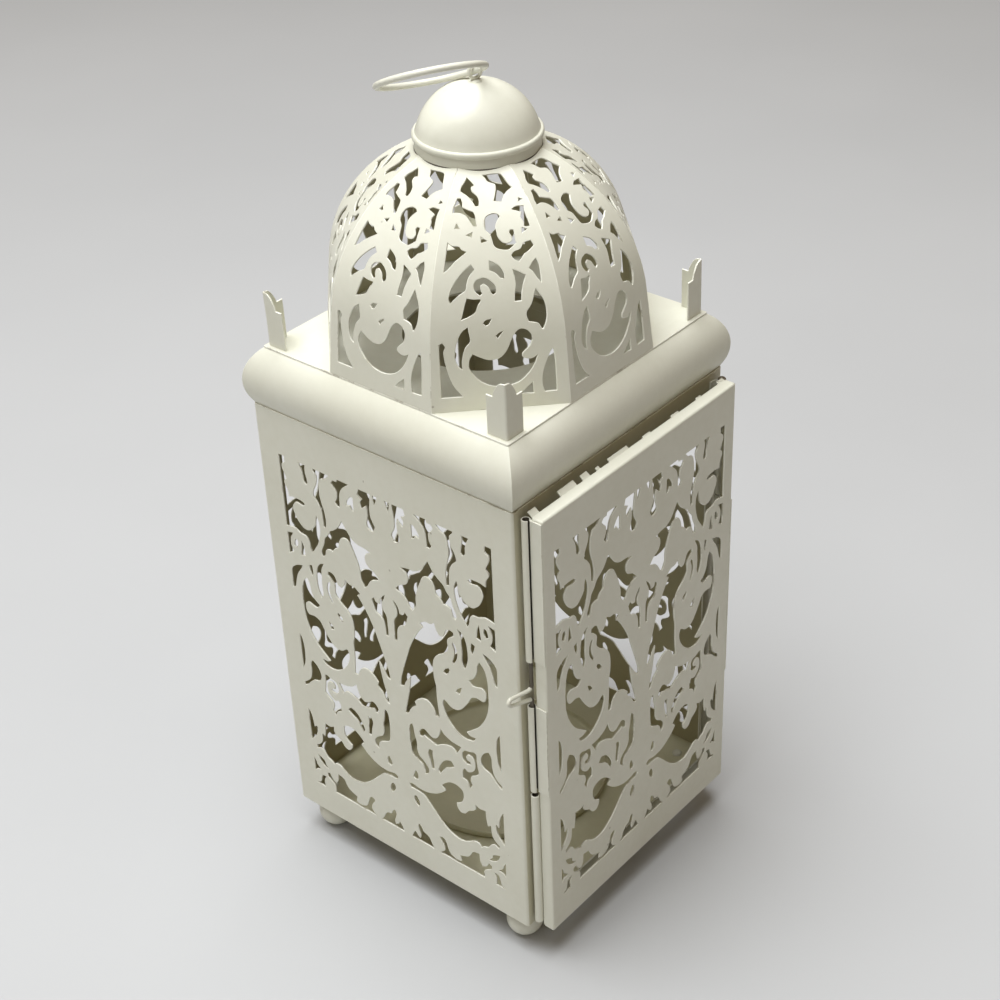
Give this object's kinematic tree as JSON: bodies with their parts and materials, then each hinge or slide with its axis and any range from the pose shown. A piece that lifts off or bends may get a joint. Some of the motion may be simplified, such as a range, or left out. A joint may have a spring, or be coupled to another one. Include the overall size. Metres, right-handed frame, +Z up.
{
  "type": "lantern",
  "caption": "Square candle lantern of pierced, painted sheet metal on ball feet, with a hinged door, wire latch, eight-sided dome and carry ring.",
  "frame": {"origin": "on the floor, midway between the four feet, below the middle of the dome", "axes": "+Z up, the door on -Y, its hinge at +X and its latch at -X"},
  "size_m": [0.1646, 0.1639, 0.4168],
  "materials": {
    "painted_sheet": "satin off-white paint, lightly worn at the edges",
    "painted_wire": "satin off-white paint on wire",
    "pin_steel": "dull drawn wire"
  },
  "bodies": {
    "shell": {"side_panel_left": "painted_sheet", "side_panel_right": "painted_sheet", "back_panel": "painted_sheet", "front_stile_left": "painted_sheet", "front_stile_right": "painted_sheet", "front_header": "painted_sheet", "front_sill": "painted_sheet", "floor_plate": "painted_sheet", "candle_dish": "painted_sheet", "foot_front_left": "painted_sheet", "foot_front_right": "painted_sheet", "foot_back_left": "painted_sheet", "foot_back_right": "painted_sheet", "foot_rivets": "painted_wire", "moulding_front": "painted_sheet", "moulding_right": "painted_sheet", "moulding_back": "painted_sheet", "moulding_left": "painted_sheet", "top_plate": "painted_sheet", "gore_1": "painted_sheet", "gore_2": "painted_sheet", "gore_3": "painted_sheet", "gore_4": "painted_sheet", "gore_5": "painted_sheet", "gore_6": "painted_sheet", "gore_7": "painted_sheet", "gore_8": "painted_sheet", "collar": "painted_sheet", "cap": "painted_sheet", "ring_eye": "painted_wire", "finial_front_left": "painted_sheet", "finial_front_right": "painted_sheet", "finial_back_left": "painted_sheet", "finial_back_right": "painted_sheet", "hinge_tube_low": "painted_sheet", "hinge_tube_high": "painted_sheet", "hinge_pin": "pin_steel", "latch_catch": "painted_sheet"},
    "door": {"door_pan": "painted_sheet", "hinge_tube_door": "painted_sheet", "latch_tube_high": "painted_sheet", "latch_tube_low": "painted_sheet"},
    "latch": {"latch_bolt": "painted_wire"},
    "ring": {"carry_ring": "painted_wire"}
  },
  "joints": [
    {"name": "door_hinge", "type": "hinge", "parent": "shell", "child": "door", "pos_m": [0.07045, -0.07825, 0.135], "axis": [0, 0, 1], "range_deg": [0, 120]},
    {"name": "latch_slide", "type": "slide", "parent": "door", "child": "latch", "axis": [0, 0, 1], "range_m": [-0.0027, 0.014]},
    {"name": "ring_swing", "type": "hinge", "parent": "shell", "child": "ring", "pos_m": [0, 0, 0.40163], "axis": [0.2164, 0.9763, 0], "range_deg": [0, 162]}
  ]
}
